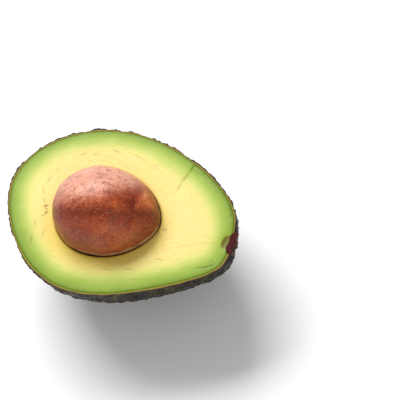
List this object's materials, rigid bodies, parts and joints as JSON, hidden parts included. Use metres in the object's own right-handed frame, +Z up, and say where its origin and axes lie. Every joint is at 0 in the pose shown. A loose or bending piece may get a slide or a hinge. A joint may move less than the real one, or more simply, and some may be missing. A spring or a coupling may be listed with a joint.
{
  "type": "avocado half",
  "caption": "Half an avocado cut lengthways and lying on its back, with the stone still in the flesh, a thin pebbled skin and half of the woody stem button.",
  "frame": {"origin": "on the surface that the half lies on, under the middle of its box", "axes": "+X along the fruit to its stem end, +Y across it, +Z up out of the cut face"},
  "size_m": [0.0992, 0.071, 0.0569],
  "materials": {
    "skin": "dark purple-brown pebbled rind, satin sheen",
    "flesh": "moist cut flesh, yellow near the stone and green at the skin",
    "stone": "red-brown fibrous seed coat, satin",
    "stem_button": "dry corky bark, matte"
  },
  "bodies": {
    "root": {"skin": "skin", "flesh": "flesh", "stone": "stone", "stem_button": "stem_button"}
  },
  "joints": []
}
